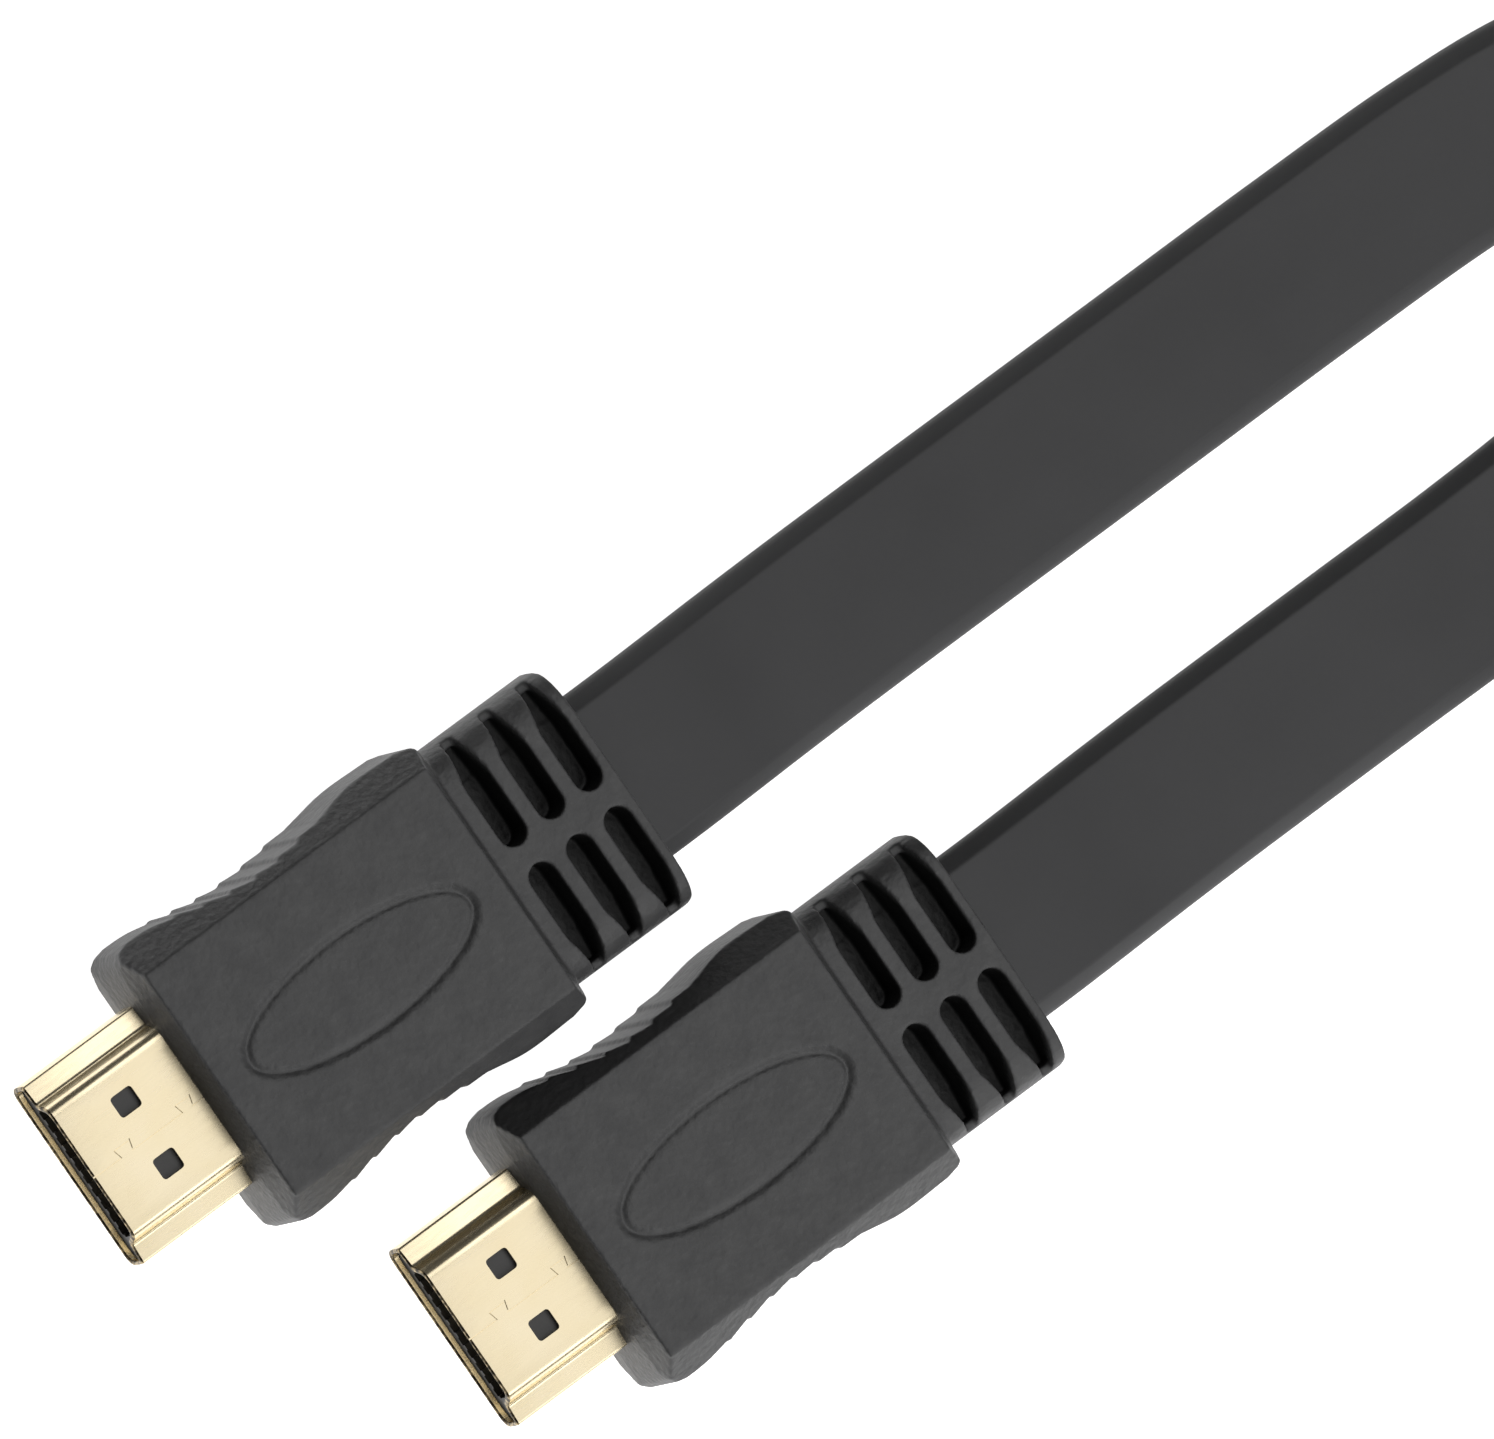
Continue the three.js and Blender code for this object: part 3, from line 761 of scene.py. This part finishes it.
def shell_mesh():
    piece = loft("shell", shell_rings(), capped=False)
    combine(piece, "DIFFERENCE", *window_cutters(), seam_cutter())
    shade_smooth(piece, 35)
    mesh = piece.data
    bpy.data.objects.remove(piece)
    return mesh


# Gold plate over bright nickel: pale gold, satin from the drawn sheet. Its drawing lines run
# along the plug and break up the reflections a little.
def gold_plate():
    material = new_material("gold_plated_brass")
    place = add_node(material, "ShaderNodeTexCoord").outputs["Object"]
    stretched = add_node(
        material, "ShaderNodeMapping", {"Scale": (0.15, 1.0, 1.0)}, {"Vector": place})
    drawing = add_node(
        material, "ShaderNodeTexNoise", {"Scale": per_mm(0.25), "Detail": 2.0},
        {"Vector": stretched.outputs["Vector"]})
    patches = add_node(
        material, "ShaderNodeTexNoise", {"Scale": per_mm(3), "Detail": 2.0},
        {"Vector": place})
    tone = add_node(
        material, "ShaderNodeMix", {"A": linear("E6D6B0"), "B": linear("ECDFC2")},
        {"Factor": patches.outputs["Fac"]}, data_type="RGBA")
    dullness = add_node(
        material, "ShaderNodeMapRange", {"To Min": 0.2, "To Max": 0.32},
        {"Value": drawing.outputs["Fac"]})
    relief = add_node(
        material, "ShaderNodeBump", {"Strength": 0.02, "Distance": 0.001 * mm},
        {"Height": drawing.outputs["Fac"]})
    surface = add_node(
        material, "ShaderNodeBsdfPrincipled", {"Metallic": 1.0},
        {
            "Base Color": tone.outputs["Result"],
            "Roughness": dullness.outputs["Result"],
            "Normal": relief.outputs["Normal"],
        })
    add_node(
        material, "ShaderNodeOutputMaterial", links={"Surface": surface.outputs["BSDF"]})
    return material


# Sheared brass: the plating is thin on the cut edge, so the rim is brown with bright specks.
def sheared_edge():
    material = new_material("sheared_brass_edge")
    place = add_node(material, "ShaderNodeTexCoord").outputs["Object"]
    specks = add_node(
        material, "ShaderNodeTexNoise", {"Scale": per_mm(0.35), "Detail": 3.0},
        {"Vector": place})
    tone = add_node(
        material, "ShaderNodeValToRGB", links={"Fac": specks.outputs["Fac"]})
    tone.color_ramp.elements[0].position = 0.45
    tone.color_ramp.elements[0].color = linear("3A342A")
    tone.color_ramp.elements[1].position = 0.68
    tone.color_ramp.elements[1].color = linear("B7A582")
    relief = add_node(
        material, "ShaderNodeBump", {"Strength": 0.3, "Distance": 0.02 * mm},
        {"Height": specks.outputs["Fac"]})
    surface = add_node(
        material, "ShaderNodeBsdfPrincipled", {"Metallic": 1.0, "Roughness": 0.4},
        {"Base Color": tone.outputs["Color"], "Normal": relief.outputs["Normal"]})
    add_node(
        material, "ShaderNodeOutputMaterial", links={"Surface": surface.outputs["BSDF"]})
    return material


plated = gold_plate()
shell = shell_mesh()
shell.materials.clear()
shell.materials.append(plated)
shell.materials.append(sheared_edge())
for face in shell.polygons:
    face.material_index = int(face.center.x < (rim_round - shell_reach) * mm)
place_on_plugs("shell", shell)


# Contacts: phosphor bronze strip, stamped and gold plated. One lies in each groove of the
# insulator, with the same finish as the shell.
for plug in "ab":
    for number in range(1, 20):
        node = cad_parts[f"contact_{plug}_{number:02d}"]
        node.data.materials.clear()
        node.data.materials.append(plated)


# Insulators: the block that holds the contacts, pressed into the shell. It is injection moulded
# from liquid crystal polymer, a dull brownish black with faint flow marks along the plug.
def moulded_polymer():
    material = new_material("moulded_liquid_crystal_polymer")
    place = add_node(material, "ShaderNodeTexCoord").outputs["Object"]
    stretched = add_node(
        material, "ShaderNodeMapping", {"Scale": (0.3, 1.0, 1.0)}, {"Vector": place})
    flow = add_node(
        material, "ShaderNodeTexNoise", {"Scale": per_mm(0.8), "Detail": 4.0},
        {"Vector": stretched.outputs["Vector"]})
    tone = add_node(
        material, "ShaderNodeMix", {"A": linear("1B1A19"), "B": linear("2A2826")},
        {"Factor": flow.outputs["Fac"]}, data_type="RGBA")
    relief = add_node(
        material, "ShaderNodeBump", {"Strength": 0.2, "Distance": 0.02 * mm},
        {"Height": flow.outputs["Fac"]})
    surface = add_node(
        material, "ShaderNodeBsdfPrincipled", {"IOR": 1.6, "Roughness": 0.45},
        {"Base Color": tone.outputs["Result"], "Normal": relief.outputs["Normal"]})
    add_node(
        material, "ShaderNodeOutputMaterial", links={"Surface": surface.outputs["BSDF"]})
    return material


polymer = moulded_polymer()
for plug in "ab":
    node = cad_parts[f"insulator_{plug}"]
    node.data.materials.clear()
    node.data.materials.append(polymer)


# Tie: a strap of woven nylon hook and loop tape that closes around all strands of the coil. The
# strands pass over its lower run.
tie_width = 12
tie_strand_radius = coil_radius - strand_spacing * tie_angle / math.pi
tie_slack = 0.3
tie_outer_radius = tie_strand_radius + cord_thickness / 2 + tie_slack
tie_inner_radius = tie_strand_radius - 2 * strand_spacing - cord_thickness / 2 - tie_slack
tie_corner = 2


def tie_rings():
    low, high = tie_strap / 2, cord_width + 2 * tie_clearance + 1.5 * tie_strap
    inner, outer = tie_inner_radius - tie_strap / 2, tie_outer_radius + tie_strap / 2
    loop = rounded([(inner, low), (outer, low), (outer, high), (inner, high)], tie_corner, 8)
    tangents = np.roll(loop, -1, axis=0) - np.roll(loop, 1, axis=0)
    tangents /= np.linalg.norm(tangents, axis=1)[:, None]
    normals = np.stack([tangents[:, 1], -tangents[:, 0]], axis=1)
    rings = []
    edge = tie_width / 2
    section = rounded(
        [(edge, -tie_strap / 2), (edge, tie_strap / 2), (-edge, tie_strap / 2),
         (-edge, -tie_strap / 2)], 0.3, 3)
    outward = np.array((math.sin(tie_angle), math.cos(tie_angle)))
    sideways = np.array((outward[1], -outward[0]))
    for point, normal in zip(loop, normals):
        ring = []
        for across, through in section:
            radius, height = point + normal * through
            x, y = coil_centre + outward * radius + sideways * across
            ring.append((x, y, height))
        rings.append(np.array(ring))
    return rings


# Woven nylon with a face of raised loops: deep matt black with a soft bloom at the edges.
def woven_nylon():
    material = new_material("woven_nylon_tape")
    place = add_node(material, "ShaderNodeTexCoord").outputs["Object"]
    loops = add_node(
        material, "ShaderNodeTexVoronoi", {"Scale": per_mm(0.5)}, {"Vector": place})
    tone = add_node(
        material, "ShaderNodeMix", {"A": linear("111112"), "B": linear("2B2B2D")},
        {"Factor": loops.outputs["Distance"]}, data_type="RGBA")
    relief = add_node(
        material, "ShaderNodeBump", {"Strength": 0.9, "Distance": 0.15 * mm},
        {"Height": loops.outputs["Distance"]})
    surface = add_node(
        material, "ShaderNodeBsdfPrincipled",
        {"Roughness": 0.85, "IOR": 1.53, "Sheen Weight": 0.4},
        {"Base Color": tone.outputs["Result"], "Normal": relief.outputs["Normal"]})
    add_node(
        material, "ShaderNodeOutputMaterial", links={"Surface": surface.outputs["BSDF"]})
    return material


tie = loft("hook_and_loop_tie", tie_rings(), capped=False)
shade_smooth(tie, 50)
tie.data.materials.append(woven_nylon())
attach(tie, "root")
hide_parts("coil_tie")


# Floor and light: a lit white table in a dim room. A key light stands to the right. The box over
# the plugs and the one to its left only give the metal its reflections, and a low one on the right
# lights that side of the plugs.
table_low, table_high = (-180, -220), (260, 88)
table_glow = 1.15
table = prism("lit_table", [
    table_low, (table_high[0], table_low[1]), table_high, (table_low[0], table_high[1]),
], "Z", -2, 0)

# Opal acrylic, cast and lit from below: an even white without shadows.
acrylic = new_material("opal_acrylic")
clouds = add_node(
    acrylic, "ShaderNodeTexNoise", {"Scale": per_mm(20), "Detail": 2.0},
    {"Vector": add_node(acrylic, "ShaderNodeTexCoord").outputs["Object"]})
acrylic_tone = add_node(
    acrylic, "ShaderNodeMix", {"A": linear("F4F4F4"), "B": linear("F9F9F9")},
    {"Factor": clouds.outputs["Fac"]}, data_type="RGBA")
sheet = add_node(
    acrylic, "ShaderNodeBsdfPrincipled",
    {"Roughness": 0.9, "Specular IOR Level": 0.1, "Emission Strength": table_glow},
    {"Base Color": acrylic_tone.outputs["Result"],
     "Emission Color": acrylic_tone.outputs["Result"]})
add_node(acrylic, "ShaderNodeOutputMaterial", links={"Surface": sheet.outputs["BSDF"]})
table.data.materials.append(acrylic)


def soft_box(name, direction, width, depth, radiance, seen="both", far=0.8):
    """An area light, width by depth metres, seen in gloss, by matt surfaces, or both."""
    data = bpy.data.lights.new(name, "AREA")
    data.shape = "RECTANGLE"
    data.size = width
    data.size_y = depth
    data.energy = radiance * math.pi * width * depth
    lamp = bpy.data.objects.new(name, data)
    back = Vector(direction).normalized()
    side = Vector((1, 0, 0)) - back.x * back
    side.normalize()
    lamp.matrix_world = (
        Matrix.Translation(looked_at + back * far)
        @ Matrix((side, back.cross(side), back)).transposed().to_4x4()
    )
    lamp.visible_diffuse = seen != "gloss"
    lamp.visible_glossy = seen != "matt"
    bpy.context.scene.collection.objects.link(lamp)


soft_box("top_box", (0.3, -0.32, 0.9), 0.9, 0.85, 1.05, "gloss")
soft_box("left_box", (0.28, 0.4, 0.87), 0.7, 0.44, 1.8, "gloss")
soft_box("right_box", (0.05, -0.85, 0.5), 0.5, 0.3, 2.5)
soft_box("key_box", (0.1, -0.62, 0.78), 0.6, 0.5, 4.4, "matt")

# Dim walls keep the reflections dark, but the camera sees the room as white as the table.
room_glow = 0.08
world = bpy.data.worlds.new("room")
world.use_nodes = True
background = world.node_tree.nodes["Background"]
background.inputs["Color"].default_value = linear("FFFFFF")
glow = add_node(
    world, "ShaderNodeMapRange", {"To Min": room_glow, "To Max": 1.0},
    {"Value": add_node(world, "ShaderNodeLightPath").outputs["Is Camera Ray"]})
world.node_tree.links.new(glow.outputs["Result"], background.inputs["Strength"])
bpy.context.scene.world = world
bpy.context.scene.view_settings.view_transform = "Standard"
